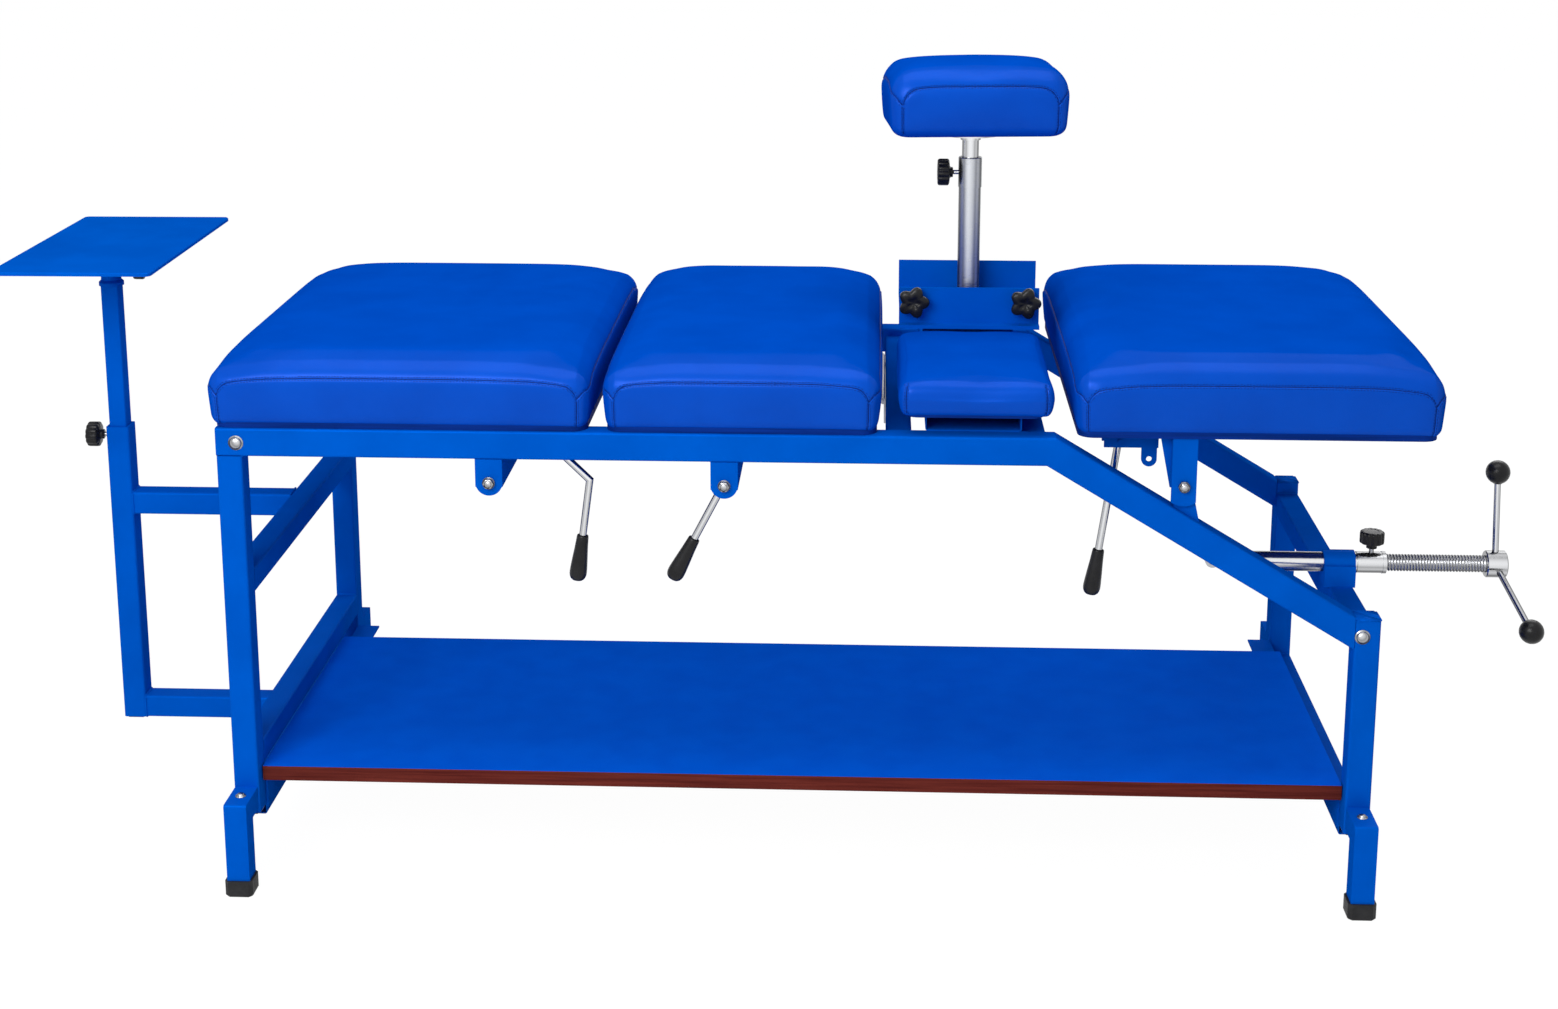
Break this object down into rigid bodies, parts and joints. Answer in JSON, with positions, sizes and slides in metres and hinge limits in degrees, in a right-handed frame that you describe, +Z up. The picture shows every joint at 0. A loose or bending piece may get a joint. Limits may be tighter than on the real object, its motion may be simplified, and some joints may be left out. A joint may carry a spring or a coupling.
{
  "type": "traction bed",
  "caption": "Traction bed with tilting padded sections, a height-adjustable bolster, a swivelling side tray, a storage shelf and a hand-cranked traction screw.",
  "frame": {"origin": "on the floor below the middle of the overall box", "axes": "+X along the bed towards the traction screw, +Y across it away from the lever side, +Z up"},
  "size_m": [2.4963, 0.898, 1.28],
  "materials": {
    "frame_blue": "glossy blue powder coat",
    "vinyl_blue": "glossy blue vinyl over foam",
    "board": "plywood",
    "shelf_blue": "painted board with a dark red-brown edge",
    "chrome": "polished chrome",
    "zinc": "zinc plated",
    "black_plastic": "black moulding",
    "rubber": "black rubber"
  },
  "bodies": {
    "bed_frame": {"side_frame_front": "frame_blue", "side_frame_back": "frame_blue", "foot_end_tubes": "frame_blue", "head_end_tubes": "frame_blue", "middle_tubes": "frame_blue", "stay_bracket_foot": "frame_blue", "stay_bracket_seat": "frame_blue", "shelf": "shelf_blue", "tray_stand": "frame_blue", "strip_hinge_foot": "zinc", "strip_hinge_seat": "zinc", "base_small": "frame_blue", "board_small": "board", "cushion_small": "vinyl_blue", "bolster_support": "frame_blue", "bolster_post_outer": "chrome", "head_pad_bolts": "zinc", "screw_strap": "frame_blue", "screw_sleeve": "chrome", "rubber_foot_front": "rubber", "rubber_foot_back": "rubber", "rubber_head_front": "rubber", "rubber_head_back": "rubber"},
    "foot_pad": {"cushion_foot": "vinyl_blue", "board_foot": "board", "hinge_foot_board": "zinc", "stay_clevis_foot": "frame_blue"},
    "seat_pad": {"cushion_seat": "vinyl_blue", "board_seat": "board", "hinge_seat_board": "zinc", "stay_clevis_seat": "frame_blue"},
    "head_pad": {"cushion_head": "vinyl_blue", "board_head": "board", "head_pad_frame": "frame_blue"},
    "foot_stay_tube": {"stay_tube_foot": "zinc"},
    "foot_stay_rod": {"stay_rod_foot": "zinc"},
    "seat_stay_tube": {"stay_tube_seat": "zinc"},
    "seat_stay_rod": {"stay_rod_seat": "zinc"},
    "foot_lever": {"lever_foot": "chrome", "grip_foot": "black_plastic"},
    "seat_lever": {"lever_seat": "chrome", "grip_seat": "black_plastic"},
    "head_lever": {"lever_head": "chrome", "grip_head": "black_plastic"},
    "mast": {"tray_mast": "chrome"},
    "tray": {"tray_neck": "chrome", "tray_plate": "frame_blue"},
    "mast_clamp": {"mast_knob": "black_plastic"},
    "tray_clamp": {"tray_knob": "black_plastic"},
    "bolster_post": {"bolster_post_inner": "chrome"},
    "bolster_pad": {"bolster": "vinyl_blue"},
    "post_clamp": {"post_knob": "black_plastic"},
    "star_clamp_left": {"star_knob_left": "black_plastic"},
    "star_clamp_right": {"star_knob_right": "black_plastic"},
    "traction_slide": {"draw_rod": "zinc"},
    "traction_screw": {"screw_rod": "zinc", "screw_handle": "chrome", "handle_balls": "black_plastic"},
    "screw_clamp": {"screw_knob": "black_plastic"}
  },
  "joints": [
    {"name": "foot_pad_tilt", "type": "hinge", "parent": "bed_frame", "child": "foot_pad", "pos_m": [-0.8321, 0, 0.745], "axis": [0, -1, 0], "range_deg": [0, 20]},
    {"name": "foot_stay_swing", "type": "hinge", "parent": "bed_frame", "child": "foot_stay_tube", "pos_m": [-0.4021, 0, 0.668], "axis": [0, 1, 0], "range_deg": [0, 8]},
    {"name": "foot_stay_travel", "type": "slide", "parent": "foot_stay_tube", "child": "foot_stay_rod", "axis": [-0.9917, 0, 0.1286], "range_m": [-0.001, 0.006]},
    {"name": "seat_pad_tilt", "type": "hinge", "parent": "bed_frame", "child": "seat_pad", "pos_m": [0.2039, 0, 0.745], "axis": [0, 1, 0], "range_deg": [0, 10]},
    {"name": "seat_stay_swing", "type": "hinge", "parent": "bed_frame", "child": "seat_stay_tube", "pos_m": [-0.0381, 0, 0.668], "axis": [0, 1, 0], "range_deg": [0, 22]},
    {"name": "seat_stay_travel", "type": "slide", "parent": "seat_stay_tube", "child": "seat_stay_rod", "axis": [-0.9394, 0, 0.3428], "range_m": [0, 0.035]},
    {"name": "head_pad_tilt", "type": "hinge", "parent": "bed_frame", "child": "head_pad", "pos_m": [0.6649, 0, 0.674], "axis": [0, 1, 0], "range_deg": [-4, 25]},
    {"name": "foot_lever_turn", "type": "hinge", "parent": "bed_frame", "child": "foot_lever", "pos_m": [-0.3101, -0.308, 0.712], "axis": [0, 1, 0], "range_deg": [0, 20], "stiffness_Nm_per_rad": 0.8, "springref_deg": -34.38},
    {"name": "seat_lever_turn", "type": "hinge", "parent": "bed_frame", "child": "seat_lever", "pos_m": [-0.0381, -0.346, 0.668], "axis": [0, 1, 0], "range_deg": [0, 15], "stiffness_Nm_per_rad": 0.8, "springref_deg": -34.38},
    {"name": "head_lever_turn", "type": "hinge", "parent": "head_pad", "child": "head_lever", "pos_m": [0.5729, -0.278, 0.7263], "axis": [0, 1, 0], "range_deg": [0, 15], "stiffness_Nm_per_rad": 0.8, "springref_deg": -34.38},
    {"name": "mast_height", "type": "slide", "parent": "bed_frame", "child": "mast", "axis": [0, 0, 1], "range_m": [-0.2, 0.12]},
    {"name": "tray_swivel", "type": "hinge", "parent": "mast", "child": "tray", "pos_m": [-1.1261, 0.065, 0.947], "axis": [0, 0, 1], "range_deg": [-180, 180]},
    {"name": "mast_clamp_turn", "type": "hinge", "parent": "bed_frame", "child": "mast_clamp", "pos_m": [-1.1461, 0.065, 0.61], "axis": [-1, 0, 0], "range_deg": [0, 720]},
    {"name": "tray_clamp_turn", "type": "hinge", "parent": "mast", "child": "tray_clamp", "pos_m": [-1.1061, 0.065, 0.904], "axis": [1, 0, 0], "range_deg": [0, 720]},
    {"name": "bolster_height", "type": "slide", "parent": "bed_frame", "child": "bolster_post", "axis": [0, 0, 1], "range_m": [-0.025, 0.12]},
    {"name": "bolster_swivel", "type": "hinge", "parent": "bolster_post", "child": "bolster_pad", "pos_m": [0.3469, 0.031, 1.16], "axis": [0, 0, 1], "range_deg": [-180, 180]},
    {"name": "post_clamp_turn", "type": "hinge", "parent": "bed_frame", "child": "post_clamp", "pos_m": [0.3279, 0.031, 1.091], "axis": [-1, 0, 0], "range_deg": [0, 720]},
    {"name": "star_clamp_left_turn", "type": "hinge", "parent": "bed_frame", "child": "star_clamp_left", "pos_m": [0.2549, -0.035, 0.884], "axis": [0, -1, 0], "range_deg": [0, 720]},
    {"name": "star_clamp_right_turn", "type": "hinge", "parent": "bed_frame", "child": "star_clamp_right", "pos_m": [0.4389, -0.035, 0.884], "axis": [0, -1, 0], "range_deg": [0, 720]},
    {"name": "screw_turn", "type": "hinge", "parent": "traction_slide", "child": "traction_screw", "pos_m": [0.8639, -0.145, 0.48], "axis": [1, 0, 0], "range_deg": [-3600, 720]},
    {"name": "screw_travel", "type": "slide", "parent": "bed_frame", "child": "traction_slide", "axis": [1, 0, 0], "range_m": [-0.0501, 0.0101]},
    {"name": "screw_clamp_turn", "type": "hinge", "parent": "bed_frame", "child": "screw_clamp", "pos_m": [1.0039, -0.145, 0.5], "axis": [0, 0, 1], "range_deg": [0, 720]}
  ],
  "couplings": [
    {"joint": "foot_stay_swing", "follows": "foot_pad_tilt", "ratio": 0.3403},
    {"joint": "foot_stay_travel", "follows": "foot_pad_tilt", "m_per_rad": -0.00124},
    {"joint": "seat_stay_swing", "follows": "seat_pad_tilt", "ratio": 2.0497},
    {"joint": "seat_stay_travel", "follows": "seat_pad_tilt", "m_per_rad": 0.18128},
    {"joint": "screw_travel", "follows": "screw_turn", "m_per_rad": 0.00079577}
  ]
}
